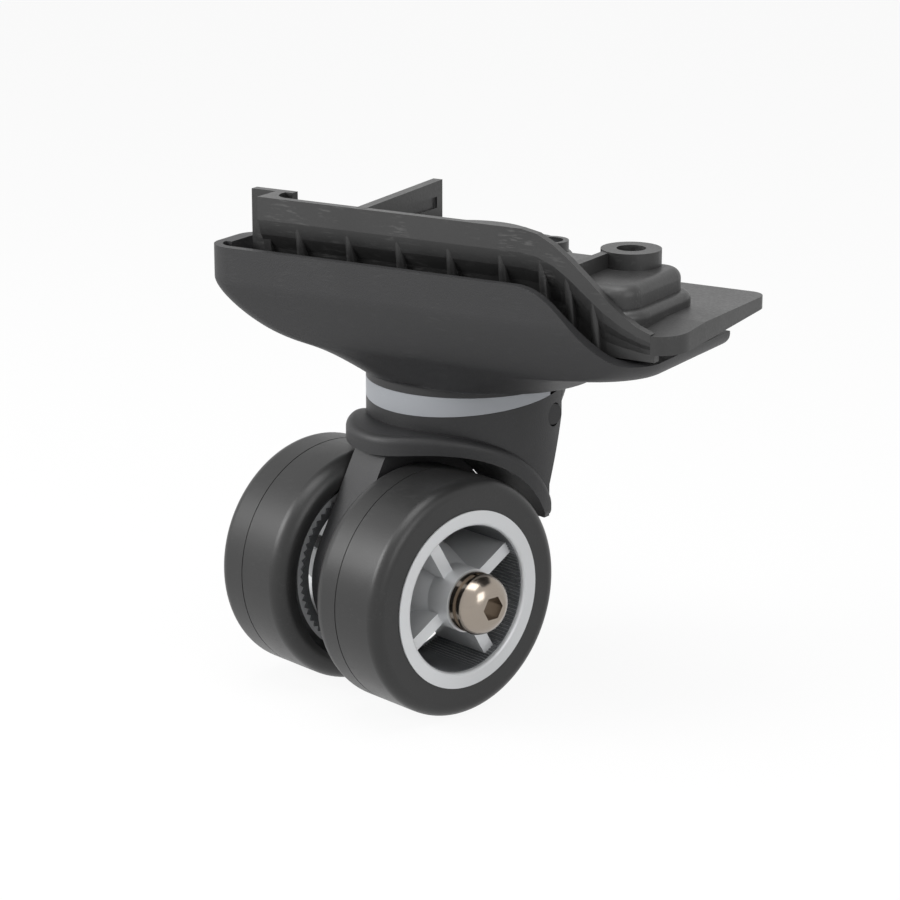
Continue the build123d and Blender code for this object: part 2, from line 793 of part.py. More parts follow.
tie_places = PolarLocations(tie_circle, tie_count, start_angle=tie_start)
case_places = Locations(long_hole, short_hole, corner_hole)
bowl_body = bowl(0, housing_base)

with BuildPart() as housing_inside:
    with BuildSketch(Plane.XY.offset(housing_base)):
        with tie_places:
            Circle(tie_post_radius)
    extrude(amount=flange_base - housing_base)
    with BuildSketch(Plane.XY.offset(post_base)):
        with case_places:
            Circle(post_radius)
    extrude(amount=flange_base - post_base)
    with BuildSketch(Plane.XY.offset(housing_base)):
        Circle(tower_radius)
    extrude(amount=swivel_bearing_top - housing_base)
    for x, y in (long_hole, short_hole, corner_hole):
        web_base = housing_base + housing_floor / 2
        web_top = arm_rim - housing_web_drop
        with BuildSketch(Plane(origin=(0, 0, 0), x_dir=(x, y, 0), z_dir=(y, -x, 0))):
            with BuildLine():
                Polyline(
                    (0, web_base), (tower_radius, web_base), (hypot(x, y), post_base),
                    (hypot(x, y), web_top), (0, web_top), close=True,
                )
            make_face()
        extrude(amount=housing_web / 2, both=True)

with BuildPart() as outer_housing:
    add(bowl_body)
    add(bowl(housing_wall, housing_base + housing_floor), mode=Mode.SUBTRACT)
    with BuildSketch(Plane.XY.offset(rim_height)):
        with Locations((housing_left_wall / 2 - left_face, (rear_face - front_face) / 2)):
            Rectangle(housing_left_wall, front_face + rear_face - 2 * rim_round)
    extrude(amount=-rim_band)
    with BuildSketch(Plane.XZ):
        fall(long_drop, rim_height, arm_rim)
    extrude(amount=2 * front_face, both=True, mode=Mode.SUBTRACT)
    with BuildSketch(Plane.YZ):
        fall(short_drop, rim_height, arm_rim)
    extrude(amount=2 * left_face, both=True, mode=Mode.SUBTRACT)
    with BuildSketch(Plane.XY.offset(arm_rim)):
        with Locations((long_end, long_end)):
            Rectangle(2 * long_end + 2 * skirt_radius, 2 * long_end + 2 * skirt_radius)
    extrude(amount=2 * rim_band + arm_drop, mode=Mode.SUBTRACT)
    add(housing_inside)
    with BuildSketch(swivel_profile):
        ring(0, bush_radius, housing_base - 1, swivel_bearing_base)
        ring(0, bush_flange_radius, housing_base - 1, housing_base + bush_flange_thickness)
        ring(0, swivel_bearing_radius, swivel_bearing_base, swivel_bearing_top)
    revolve(axis=Axis.Z, mode=Mode.SUBTRACT)
    with BuildSketch(Plane.XY.offset(flange_base)):
        with tie_places:
            Circle(tie_shank_radius + thread_gap)
        with case_places:
            Circle(pilot_radius)
    extrude(amount=-pilot_depth, mode=Mode.SUBTRACT)
save(outer_housing, "outer_housing")


# ---- Inner plate -----------------------------------------------------------------------------------
def ease(x, span, high, low):
    """Height at a station along a smooth fall between two levels."""
    share = min(max((x - span[0]) / (span[1] - span[0]), 0), 1)
    return high + (low - high) * share**2 * (3 - 2 * share)


def lean_points(x, behind):
    """The wall's face at a station, moved rearwards: pairs of Y and Z from its top to its foot."""
    top = ease(x, plate_drop, plate_top, plate_dip)
    foot = ease(x, plate_foot_drop, plate_foot, plate_foot_low)
    lean = ease(x, plate_foot_drop, 1, lean_right)
    return [(plate_face + lean * back + behind, top - share * (top - foot)) for back, share in lean_rows]


def along_wall(section):
    """Loft a closed section of Y and Z pairs, given for each station, along the wall."""
    with BuildPart() as body:
        for x in wall_stations:
            with BuildSketch(Plane.YZ.offset(x)):
                with BuildLine() as edge:
                    Polyline(*section(x), close=True)
                make_face(edge.edges())
        loft(ruled=True)
    return body.part


def wall_section(x):
    return lean_points(x, 0) + lean_points(x, plate_wall)[::-1]


def ahead_section(x):
    face = lean_points(x, plate_wall / 2)
    above = [(2 * plate_face, 3 * plate_top), (face[0][0], 3 * plate_top)]
    return above + face + [(face[-1][0], housing_base), (2 * plate_face, housing_base)]


def block(left, right, front, back, base, top):
    """Upright block between given X, Y and Z."""
    with BuildPart() as body:
        with BuildSketch(Plane.XY.offset(base)):
            outline(-left, right, -front, back, 0.3)
        extrude(amount=top - base)
    return body.part


def tube(places, radius, base, top):
    """Round posts at given places."""
    with BuildPart() as body:
        with BuildSketch(Plane.XY.offset(base)):
            with places:
                Circle(radius)
        extrude(amount=top - base)
    return body.part


with BuildSketch() as flange_plan:
    with BuildLine() as edge:
        Polyline(
            (flange_left, plate_face + lean_rows[-1][0]),
            (plate_left, plate_face + lean_rows[-1][0]),
            (plate_left, plate_face),
            (flange_end, plate_face),
            (flange_end, flange_back),
            (flange_side, flange_back),
            (flange_side, flange_rear),
            (flange_left, flange_rear),
            close=True,
        )
    make_face(edge.edges())
    fillet(nearest(flange_plan, flange_end, plate_face), flange_corner)
    fillet(nearest(flange_plan, flange_end, flange_back), flange_round)
    fillet(nearest(flange_plan, flange_side, flange_rear), flange_round)
    fillet(nearest(flange_plan, flange_left, flange_rear), flange_round)
    Circle(tie_disc_radius)

with BuildSketch() as deck_plan:
    outline(-plate_left, deck_end, -deck_front, deck_back, deck_corner)
    Circle(deck_radius)

with BuildPart() as deck:
    with BuildSketch(Plane.XY.offset(flange_base)):
        add(deck_plan)
    extrude(amount=-flange_base)
    fillet(deck.faces().sort_by(Axis.Z)[-1].edges(), deck_edge_round)

with BuildPart() as bench:
    with BuildSketch(Plane.XY.offset(flange_base)):
        add(deck_plan)
        offset(amount=bench_width)
    extrude(amount=bench_height - flange_base)
    fillet(bench.faces().sort_by(Axis.Z)[-1].edges(), bench_edge_round)

with BuildPart() as lip:
    with BuildSketch(Plane.XY.offset(lip_front)):
        add(flange_plan)
        offset(amount=-plate_wall, mode=Mode.SUBTRACT)
        with Locations((lip_start + long_end, 0)):
            Rectangle(2 * long_end, 4 * front_face, mode=Mode.INTERSECT)
    extrude(amount=flange_height - lip_front)
    with BuildSketch(Plane.YZ.offset(lip_start)):
        with BuildLine():
            Polyline(
                (plate_face, lip_front), (flange_back, lip_rear), (flange_back, flange_height),
                (plate_face, flange_height), close=True,
            )
        make_face()
    extrude(amount=long_end, mode=Mode.INTERSECT)

with BuildPart() as inner_plate:
    with BuildSketch(Plane.XY.offset(flange_base)):
        add(flange_plan)
    extrude(amount=flange_thickness)
    add(bench)
    add(tube(Locations((0, 0)), tie_disc_radius, flange_base, bench_height))
    add(deck)
    with BuildSketch(Plane.XY.offset(flange_base)):
        add(deck_plan)
        offset(amount=-deck_thickness)
    extrude(amount=-flange_base - deck_thickness, mode=Mode.SUBTRACT)
    add(lip)
    with BuildSketch(Plane.YZ.offset(deck_end + bench_width)):
        with BuildLine():
            Polyline(
                (dip_start, flange_height), (plate_face, plate_dip), (plate_face, flange_height), close=True,
            )
        make_face()
    extrude(amount=long_end, mode=Mode.SUBTRACT)
    add(tube(Locations((0, 0)), tower_radius, swivel_bearing_top, -deck_thickness))
    add(tube(Locations(long_hole, corner_hole), case_boss_radius, flange_base, case_boss_height))
    add(tube(Locations(short_hole), case_boss_radius, flange_base, low_boss_height))
    add(tube(tie_places, tie_post_radius, flange_base, -deck_thickness))
    boss_x, boss_y = long_hole
    rib_x = boss_x - case_boss_radius / 2
    rib_half = plate_wall / 2
    add(block(rib_x - rib_half, rib_x + rib_half, plate_face, boss_y, -deck_thickness, boss_rib_height))
    with BuildSketch(Plane.XY.offset(flange_base)):
        with BuildLine():
            web_right = plate_left + hook_web
            hook_back = hook_front + hook_thickness
            Polyline(
                (plate_left, plate_face), (plate_left, hook_front), (hook_left, hook_front),
                (hook_left, hook_back), (hook_right, hook_back), (hook_right, hook_front),
                (web_right, hook_front), (web_right, plate_face + plate_wall),
                (web_right + 2 * hook_root, plate_face + plate_wall),
                (web_right + 2 * hook_root, plate_face), close=True,
            )
        hook = make_face()
        fillet(nearest(hook, web_right, plate_face + plate_wall), hook_root)
        fillet(nearest(hook, web_right, hook_front), hook_round)
        fillet(nearest(hook, hook_right, hook_front), hook_thickness / 3)
        fillet(nearest(hook, hook_right, hook_back), hook_thickness / 3)
    extrude(amount=plate_top - flange_base)
    fin_right = fin_position + fin_thickness / 2
    with BuildSketch(Plane.YZ.offset(fin_right)):
        with BuildLine():
            Polyline(
                (plate_face, -deck_thickness), (fin_back, -deck_thickness), (fin_back, fin_top),
                (plate_face, plate_top), close=True,
            )
        make_face()
    extrude(amount=-fin_thickness)
    recess_back = fin_back - fin_thickness
    recess_top = fin_top - fin_recess_drop
    add(
        block(
            fin_right - fin_recess, fin_right + fin_thickness,
            recess_back - fin_recess_length, recess_back,
            recess_top - fin_recess_height, recess_top,
        ),
        mode=Mode.SUBTRACT,
    )
    add(along_wall(ahead_section), mode=Mode.SUBTRACT)
    add(along_wall(wall_section))
    for x in gusset_positions:
        top, *_, foot = [Vector(0, y, z) for y, z in lean_points(x, 0)]
        nose = Vector(0, gusset_thickness / 2, 0)
        high = top + nose - Vector(0, 0, gusset_start)
        low = Vector(0, top.Y + gusset_lean * (foot.Y - top.Y) / lean_rows[-1][0], foot.Z) + nose
        rear = [pair for pair in lean_points(x, gusset_root) if pair[1] < high.Z]
        with BuildSketch(Plane.YZ.offset(x - gusset_thickness / 2)):
            with BuildLine():
                Polyline(
                    (high.Y, high.Z), (high.Y + gusset_root / 2, high.Z), *rear,
                    (low.Y, low.Z), close=True,
                )
            make_face()
        extrude(amount=gusset_thickness)
        with BuildSketch(Plane(origin=high + Vector(x, 0, 0), z_dir=low - high)):
            Circle(gusset_thickness / 2)
        extrude(amount=(low - high).length)
    for places, radius, base, top in (
        (Locations((0, 0)), swivel_bearing_radius - bush_wall, swivel_bearing_top - 1, -deck_thickness),
        (case_places, case_hole_radius, flange_base, case_boss_height),
        (tie_places, tie_shank_radius + tie_hole_gap, flange_base, bench_height),
        (tie_places, tie_head_radius + tie_head_gap, bench_height, plate_top),
    ):
        add(tube(places, radius, base, top), mode=Mode.SUBTRACT)
save(inner_plate, "inner_plate")

with BuildPart() as tie_screws:
    with BuildSketch(Plane.XY.offset(bench_height)):
        with tie_places:
            Circle(tie_head_radius)
    extrude(amount=tie_head_height)
    fillet(tie_screws.faces().sort_by(Axis.Z)[-3:].edges(), tie_head_height / 2)
    with BuildSketch(Plane.XY.offset(bench_height + tie_head_height)):
        with tie_places:
            Rectangle(tie_head_radius, tie_recess)
            Rectangle(tie_recess, tie_head_radius)
    extrude(amount=-tie_recess, mode=Mode.SUBTRACT)
    with BuildSketch(Plane.XY.offset(bench_height)):
        with tie_places:
            Circle(tie_shank_radius)
    extrude(amount=-tie_length)
save(tie_screws, "tie_screws")
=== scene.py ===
# %% [markdown]
# # A suitcase corner caster
#
# This notebook finishes and lights a twin-wheel swivel caster from the corner of a hard-shell suitcase.
# The engineering model brings every piece at its real size. The work here is surfaces: moulded charcoal
# plastic, dark rubber, silver paint and plated steel, plus the fine ridges and teeth that are too small
# to be worth an engineering feature.

# %% Load the caster
import json
import math

import bmesh
import bpy
from mathutils import Matrix, Vector


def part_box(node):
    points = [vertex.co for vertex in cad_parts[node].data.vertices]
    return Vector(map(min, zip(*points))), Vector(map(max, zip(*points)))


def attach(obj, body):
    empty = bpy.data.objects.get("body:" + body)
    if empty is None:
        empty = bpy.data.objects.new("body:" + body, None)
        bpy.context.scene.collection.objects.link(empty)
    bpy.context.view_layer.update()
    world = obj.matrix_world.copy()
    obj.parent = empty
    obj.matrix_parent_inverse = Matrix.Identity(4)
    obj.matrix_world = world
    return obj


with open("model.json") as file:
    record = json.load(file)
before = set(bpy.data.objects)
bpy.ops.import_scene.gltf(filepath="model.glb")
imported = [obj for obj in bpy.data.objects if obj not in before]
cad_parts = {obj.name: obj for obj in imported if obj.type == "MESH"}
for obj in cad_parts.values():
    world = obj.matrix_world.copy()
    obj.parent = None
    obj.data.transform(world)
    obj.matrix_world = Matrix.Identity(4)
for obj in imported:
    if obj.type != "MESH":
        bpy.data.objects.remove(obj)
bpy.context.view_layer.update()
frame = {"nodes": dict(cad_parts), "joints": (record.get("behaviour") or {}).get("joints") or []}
nodes = frame["nodes"]
joints = {joint["name"]: joint for joint in frame["joints"]}
mm = 0.001

# %% [markdown]
# ## The axle
#
# Everything on a wheel runs round the axle, which lies at an angle to the frame's X and Y. The wheel's own
# joint gives its centre and direction, so new rings are made flat round Z and then carried onto the axle
# by one matrix. Reading the joint keeps them true if the wheels ever move. The near hub's box tells which
# way along the axle the near wheel lies.

# %% Find the axle
axle_centre = Vector(joints["near_wheel_spin"]["pos_m"])
axle_dir = Vector(joints["near_wheel_spin"]["axis"]).normalized()
axle_frame = Matrix.Translation(axle_centre) @ axle_dir.to_track_quat("Z", "Y").to_matrix().to_4x4()
near_middle = sum((Vector(corner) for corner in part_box("near_hub")), Vector()) / 2
near_side = math.copysign(1, (near_middle - axle_centre).dot(axle_dir))
print("axle centre:", [round(v / mm, 1) for v in axle_centre], "mm, near wheel on side", near_side)


# %% [markdown]
# ## Toothed rings
#
# Both details that the hubs still need are rings with fine teeth, moulded in one with the hub. They could
# be a bump map, but real teeth keep their shape from close by and where the light is flat.
#
# A saw-tooth ring needs only a few steps: two circles of points, every second point of one of them moved
# in or out, the flat annulus between them bridged, and the result extruded along the axle. Doubles are
# merged before the normals are recalculated, so that every face points outwards.

# %% Toothed ring
def toothed_ring(name, tip_radius, root_radius, back_radius, start, end, teeth):
    """A ring round the axle with teeth on its face towards tip_radius; sizes in metres."""
    form = bmesh.new()
    tooth_side = bmesh.ops.create_circle(form, segments=2 * teeth, radius=tip_radius)["verts"]
    for vert in tooth_side[::2]:
        vert.co *= root_radius / tip_radius
    bmesh.ops.create_circle(form, segments=2 * teeth, radius=back_radius)
    bmesh.ops.bridge_loops(form, edges=form.edges[:])
    grown = bmesh.ops.extrude_face_region(form, geom=form.faces[:])["geom"]
    top = [item for item in grown if isinstance(item, bmesh.types.BMVert)]
    bmesh.ops.translate(form, verts=top, vec=(0, 0, end - start))
    bmesh.ops.translate(form, verts=form.verts, vec=(0, 0, start))
    bmesh.ops.transform(form, matrix=axle_frame, verts=form.verts)
    bmesh.ops.remove_doubles(form, verts=form.verts, dist=1e-7)
    bmesh.ops.recalc_face_normals(form, faces=form.faces)
    mesh = bpy.data.meshes.new(name)
    form.to_mesh(mesh)
    form.free()
    ring = bpy.data.objects.new(name, mesh)
    bpy.context.collection.objects.link(ring)
    print(name, "faces:", len(mesh.polygons))
    return ring


def on_both_hubs(label, tip_radius, root_radius, back_radius, reach, teeth):
    """The same ring on each wheel, between two distances from the fork's middle."""
    rings = []
    for wheel, side in (("near", near_side), ("far", -near_side)):
        start, end = sorted(side * distance for distance in reach)
        ring = toothed_ring(
            f"{wheel}_hub_{label}", tip_radius, root_radius, back_radius, start, end, teeth
        )
        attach(ring, f"{wheel}_wheel")
        rings.append(ring)
    return rings


# %% [markdown]
# ### Ridged linings
#
# The open hubs are deep, and the wall behind the broad silver rim is covered in fine ridges that run along
# the axle. The lining is a toothed ring with its teeth inwards. Its outside is sunk slightly into the
# hub's wall, so nothing gapes, and it stops short of the rim's rounded front edge.

# %% Lining of each hub
hub_bore_radius = 17.0 * mm
ridge_height = 0.3 * mm
ridge_sink = 0.01 * mm
lining_sink = 0.2 * mm
lining_reach = (9.1 * mm, 26.7 * mm)
ridge_root = hub_bore_radius + ridge_sink
linings = on_both_hubs(
    "lining", ridge_root - ridge_height, ridge_root, hub_bore_radius + lining_sink, lining_reach, 132
)

# %% [markdown]
# ### Teeth between the wheels
#
# On the hubs' hidden faces, towards the fork, a ring of small teeth shows in the gap between the tyres.
# The same helper makes it, this time thin and with the teeth outwards, so that it stands a little proud of
# the hub and catches a thin line of light.

# %% Teeth of each hub
teeth_tip_radius = 19.6 * mm
teeth_root_radius = 18.7 * mm
teeth_inner_radius = 17.4 * mm
teeth_reach = (7.35 * mm, 7.95 * mm)
hub_teeth = on_both_hubs(
    "teeth", teeth_tip_radius, teeth_root_radius, teeth_inner_radius, teeth_reach, 64
)


# %% [markdown]
# ## Building blocks for materials
#
# Several finishes share the same fine effects. Each effect is a node group with named inputs, so one
# moulding grain can serve the housing at one depth and the tyres at another. A group only puts out colours,
# values and normals. The Principled shader itself stays in each material.

# %% Helpers for node trees
def new_group(name, inputs, outputs):
    """A shader node group with named sockets, and the nodes at its two ends."""
    group = bpy.data.node_groups.new(name, "ShaderNodeTree")
    for label, kind, value in inputs:
        socket = group.interface.new_socket(label, in_out="INPUT", socket_type=kind)
        socket.default_value = value
    for label, kind in outputs:
        group.interface.new_socket(label, in_out="OUTPUT", socket_type=kind)
    start = group.nodes.new("NodeGroupInput")
    end = group.nodes.new("NodeGroupOutput")
    print("group:", name, "with", len(group.interface.items_tree), "sockets")
    return group, start, end


def add_node(tree, kind, links=None, **settings):
    """A node with its settings, its values, and links given as input name to output socket."""
    node = tree.nodes.new(kind)
    for key, value in settings.items():
        setattr(node, key, value)
    for label, source in (links or {}).items():
        if isinstance(source, bpy.types.NodeSocket):
            tree.links.new(source, node.inputs[label])
        else:
            node.inputs[label].default_value = source
    return node


def maths(tree, operation, *values, clamp=False):
    """A Math node's result."""
    node = add_node(tree, "ShaderNodeMath", dict(enumerate(values)), operation=operation, use_clamp=clamp)
    return node.outputs[0]


def in_millimetres(tree, stretch=(1, 1, 1)):
    """Object coordinates in millimetres, through a Mapping node that can stretch a pattern."""
    place = add_node(tree, "ShaderNodeTexCoord").outputs["Object"]
    scale = tuple(share / mm for share in stretch)
    return add_node(tree, "ShaderNodeMapping", {"Vector": place, "Scale": scale}).outputs["Vector"]


# %% [markdown]
# ### Moulding grain
#
# The housing and fork have the fine, even texture that spark erosion leaves in a mould. Two noises make
# it: a tight one for the grain itself and a broad, weak one for the slight unevenness of a large moulded
# face. The same tight noise breaks up the gloss, because a grain's peaks polish with handling first.

# %% Moulding grain group
broad_patches = 0.06
broad_share = 1.2
bump_distance = 0.1 * mm


def moulding_grain():
    """Colour, roughness and normal of a fine-grained surface; Grain Size is in millimetres."""
    inputs = (
        ("Grain Size", "NodeSocketFloat", 0.3),
        ("Depth", "NodeSocketFloat", 0.2),
        ("Roughness", "NodeSocketFloat", 0.6),
        ("Spread", "NodeSocketFloat", 0.1),
        ("Colour", "NodeSocketColor", (0.05, 0.05, 0.05, 1)),
        ("Mottle", "NodeSocketFloat", 0.15),
    )
    outputs = (
        ("Colour", "NodeSocketColor"),
        ("Roughness", "NodeSocketFloat"),
        ("Normal", "NodeSocketVector"),
    )
    group, start, end = new_group("moulding grain", inputs, outputs)
    place = in_millimetres(group)
    scale = maths(group, "DIVIDE", 1.0, start.outputs["Grain Size"])
    fine = add_node(group, "ShaderNodeTexNoise", {"Vector": place, "Scale": scale, "Detail": 2.0})
    broad = add_node(
        group, "ShaderNodeTexNoise", {"Vector": place, "Scale": broad_patches, "Detail": 3.0}
    )
    offset = maths(group, "SUBTRACT", fine.outputs["Fac"], 0.5)
    patch = maths(group, "SUBTRACT", broad.outputs["Fac"], 0.5)
    swing = maths(group, "MULTIPLY", maths(group, "ADD", offset, patch), start.outputs["Spread"])
    rough = maths(group, "ADD", start.outputs["Roughness"], swing, clamp=True)
    group.links.new(rough, end.inputs["Roughness"])
    mixed = maths(group, "ADD", maths(group, "MULTIPLY", patch, broad_share), offset)
    shade = maths(group, "MULTIPLY_ADD", mixed, start.outputs["Mottle"], 1.0)
    tint = add_node(
        group, "ShaderNodeVectorMath", {0: start.outputs["Colour"], "Scale": shade}, operation="SCALE"
    )
    group.links.new(tint.outputs[0], end.inputs["Colour"])
    bump = add_node(
        group, "ShaderNodeBump",
        {"Height": fine.outputs["Fac"], "Strength": start.outputs["Depth"], "Distance": bump_distance},
    )
    group.links.new(bump.outputs["Normal"], end.inputs["Normal"])
    return group


grain_group = moulding_grain()

# %% [markdown]
# ### Handling scuffs
#
# Dark plastic shows pale, dry streaks wherever it has rubbed on something. They are short, mostly run along
# the part and lie in patches. One noise stretched along X draws the streaks, and a broad noise decides
# where they gather. Subtracting a level and multiplying by a steepness turns each soft noise into
# separate marks. The group puts out a colour and a roughness, and each material says how many scuffs it
# has and how pale they are.

# %% Scuff group
streak_stretch = (0.3, 2.4, 1.9)
streak_level = 0.54
streak_steepness = 9.0
gather_patches = 0.14
gather_level = 0.46
gather_steepness = 6.0
scuff_dryness = 0.3


def marks(tree, noise, level, steepness):
    """The parts of a noise above a level, as a mask from 0 to 1."""
    above = maths(tree, "SUBTRACT", noise.outputs["Fac"], level)
    return maths(tree, "MULTIPLY", above, steepness, clamp=True)


def handling_scuffs():
    """Colour and roughness of a surface with pale scuffs laid over it."""
    inputs = (
        ("Colour", "NodeSocketColor", (0.05, 0.05, 0.05, 1)),
        ("Scuff Colour", "NodeSocketColor", (0.2, 0.2, 0.2, 1)),
        ("Roughness", "NodeSocketFloat", 0.5),
        ("Amount", "NodeSocketFloat", 0.3),
    )
    outputs = (
        ("Colour", "NodeSocketColor"),
        ("Roughness", "NodeSocketFloat"),
    )
    group, start, end = new_group("handling scuffs", inputs, outputs)
    streaks = add_node(
        group, "ShaderNodeTexNoise",
        {"Vector": in_millimetres(group, streak_stretch), "Scale": 1.0, "Detail": 4.0},
    )
    gather = add_node(
        group, "ShaderNodeTexNoise",
        {"Vector": in_millimetres(group), "Scale": gather_patches, "Detail": 3.0},
    )
    sharp = marks(group, streaks, streak_level, streak_steepness)
    where = marks(group, gather, gather_level, gather_steepness)
    gathered = maths(group, "MULTIPLY", sharp, where)
    mask = maths(group, "MULTIPLY", gathered, start.outputs["Amount"], clamp=True)
    mix = add_node(group, "ShaderNodeMix", data_type="RGBA")
    factor, base, top = mix.inputs[0], mix.inputs[6], mix.inputs[7]
    group.links.new(mask, factor)
    group.links.new(start.outputs["Colour"], base)
    group.links.new(start.outputs["Scuff Colour"], top)
    group.links.new(mix.outputs[2], end.inputs["Colour"])
    rough = maths(group, "MULTIPLY_ADD", mask, scuff_dryness, start.outputs["Roughness"], clamp=True)
    group.links.new(rough, end.inputs["Roughness"])
    return group


scuff_group = handling_scuffs()


# %% [markdown]
# ### From groups to materials
#
# One function makes each moulded, painted or plated finish: the grain group drives colour, roughness and
# normal, and the scuff group lies over it where a finish asks for wear. Values that never change over a
# surface, such as metallic, are set on the shader's own socket, where an export can read them.

# %% Materials from groups
def new_material(name):
    """An empty material with its Principled shader."""
    material = bpy.data.materials.new(name)
    material.use_nodes = True
    return material, material.node_tree, material.node_tree.nodes["Principled BSDF"]


def grained(
    name, colour, roughness, depth, grain_size,
    spread=0.12, mottle=0.12, metallic=0.0, specular=0.5, scuffs=None,
):
    """A finish with the shared grain; scuffs gives their colour and amount."""
    material, tree, shader = new_material(name)
    values = {
        "Grain Size": grain_size, "Depth": depth, "Roughness": roughness, "Spread": spread,
        "Colour": (*colour, 1), "Mottle": mottle,
    }
    surface = add_node(tree, "ShaderNodeGroup", values, node_tree=grain_group)
    tree.links.new(surface.outputs["Normal"], shader.inputs["Normal"])
    if scuffs:
        scuff_colour, amount = scuffs
        layers = {
            "Colour": surface.outputs["Colour"], "Roughness": surface.outputs["Roughness"],
            "Scuff Colour": (*scuff_colour, 1), "Amount": amount,
        }
        surface = add_node(tree, "ShaderNodeGroup", layers, node_tree=scuff_group)
    tree.links.new(surface.outputs["Colour"], shader.inputs["Base Color"])
    tree.links.new(surface.outputs["Roughness"], shader.inputs["Roughness"])
    shader.inputs["Metallic"].default_value = metallic
    shader.inputs["Specular IOR Level"].default_value = specular
    return material


def finish(material, *names):
    """Give CAD nodes a material in place of the one they came with."""
    for name in names:
        piece = nodes[name]
        piece.data.materials.clear()
        piece.data.materials.append(material)
    print(material.name, "on", ", ".join(names))


# %% [markdown]
# ## Finishes
#
# ### Charcoal moulding
#
# The housing, fork and hood are one family of mouldings, most likely nylon or ABS: dark neutral charcoal,
# satin, with spark-erosion grain. A plain roughness would look like paint, so the grain's bump carries the
# satin look. The wear is slight, because these are the faces that are meant to be seen.

# %% Charcoal
charcoal = grained(
    "charcoal moulding", (0.022, 0.022, 0.023), roughness=0.52, depth=0.5, grain_size=0.35,
    specular=0.38, scuffs=((0.055, 0.055, 0.056), 0.2),
)
finish(charcoal, "outer_housing", "fork_body", "fender_hood", "hood_pins")

# %% [markdown]
# ### Liner moulding
#
# The inner plate is hidden in use, so it comes from a smoother mould in plainer plastic. It is glossier,
# its gloss is uneven where the plastic flowed, and it carries more scuffs than the housing. It shares the
# housing's grain group with a shallower depth and a wider gloss spread.

# %% Liner
liner = grained(
    "liner moulding", (0.023, 0.023, 0.023), roughness=0.42, depth=0.15, grain_size=0.6,
    spread=0.25, mottle=0.25, scuffs=((0.12, 0.12, 0.118), 0.35),
)
finish(liner, "inner_plate")

# %% [markdown]
# ### Hub silver
#
# The hubs are plastic with a sprayed silver lacquer: tiny aluminium flakes in a clear binder. That is
# neither a metal nor a plain grey, so it is part metallic with a very fine grain for the flakes. The deep
# ridged wall and the teeth between the wheels get a much darker silver: painted shade of their recesses.

# %% Silver
silver = grained(
    "hub silver paint", (0.6, 0.61, 0.62), roughness=0.42, depth=0.25, grain_size=0.25,
    mottle=0.06, metallic=0.3, specular=0.4,
)
finish(silver, "near_hub", "far_hub")
# Painted shade: a silver about four times darker than the hub's, for the ridged linings and the teeth
# between the wheels.
recess_shade_silver = grained(
    "silver with painted recess shade", (0.15, 0.155, 0.16), roughness=0.45, depth=0.3, grain_size=0.3,
    mottle=0.3, metallic=0.45, specular=0.4,
)
for ring in linings + hub_teeth:
    ring.data.materials.append(recess_shade_silver)
    print(recess_shade_silver.name, "on", ring.name)

# %% [markdown]
# ### Band paint
#
# The thin band under the housing is painted a flat, slightly blue mid grey, an accent between two charcoal
# parts that nothing rubs against. Very weak mottle and grain keep it from looking like a bare colour.

# %% Band
band = grained(
    "band grey paint", (0.32, 0.333, 0.355), roughness=0.5, depth=0.12, grain_size=0.3,
    mottle=0.04, specular=0.35,
)
finish(band, "trim_band")

# %% [markdown]
# ### Tyre rubber
#
# The tyres are thermoplastic rubber moulded over the hubs. Rubber of this kind is near black with a soft,
# slightly smeared sheen, so its gloss spreads more than its colour does.

# %% Rubber
rubber = grained(
    "tyre rubber", (0.018, 0.018, 0.018), roughness=0.38, depth=0.2, grain_size=0.25,
    spread=0.2, mottle=0.18, specular=0.4, scuffs=((0.045, 0.045, 0.045), 0.25),
)
finish(rubber, "near_tyre", "far_tyre")

# %% [markdown]
# ### Plated and bare metals
#
# The axle screw is nickel plated, which is warmer and darker than chrome, and smooth enough to mirror its
# surroundings. The screws that are out of sight have plain zinc, and the circlip is oiled spring steel.
# Bearing rings are ground and the balls polished. They are all metallic and differ in tint and gloss.

# %% Metals
nickel = grained(
    "warm nickel plate", (0.31, 0.27, 0.23), roughness=0.2, depth=0.05, grain_size=0.15,
    mottle=0.15, metallic=1.0,
)
finish(nickel, "axle_screw", "axle_barrel", "flat_washers", "spring_washers")

zinc = grained(
    "zinc plate", (0.42, 0.44, 0.47), roughness=0.35, depth=0.1, grain_size=0.2,
    mottle=0.2, metallic=1.0,
)
finish(zinc, "tie_screws", "kingpin", "kingpin_washer", "bearing_spacers")

dark_steel = grained(
    "dark spring steel", (0.12, 0.12, 0.125), roughness=0.45, depth=0.1, grain_size=0.2,
    metallic=0.9,
)
finish(dark_steel, "kingpin_circlip")

race = grained(
    "ground bearing steel", (0.5, 0.51, 0.52), roughness=0.28, depth=0.05, grain_size=0.1,
    metallic=1.0,
)
finish(race, *[name for name in nodes if name.endswith(("_ring", "_shields"))])

ball = grained(
    "polished balls", (0.62, 0.63, 0.64), roughness=0.12, depth=0.02, grain_size=0.1,
    metallic=1.0,
)
finish(ball, *[name for name in nodes if name.endswith("_balls")])

# %% [markdown]
# ### Acetal
#
# The swivel runs on a bush and a thrust washer of natural acetal, an off-white, waxy and slippery plastic.
# It uses the same grain at its weakest, with a little unevenness from machining.

# %% Acetal
acetal = grained("natural acetal", (0.6, 0.59, 0.55), roughness=0.4, depth=0.05, grain_size=0.3)
finish(acetal, "swivel_bush", "thrust_washer")


# %% [markdown]
# ## The studio
#
# A sheet of white paper lies under the wheels. Lamps strong enough to make it pure white would burn out
# the silver hubs. Instead, the paper and the world only look white to the camera and in reflections, and
# the lamps stay at a plain level. Both need the same switch, which the Light Path node gives.

# %% What the camera and reflections see
def seen_rays(tree):
    """1 for rays from the camera and reflections, 0 for rays that light the caster."""
    rays = add_node(tree, "ShaderNodeLightPath")
    return maths(tree, "MAXIMUM", rays.outputs["Is Camera Ray"], rays.outputs["Is Glossy Ray"])


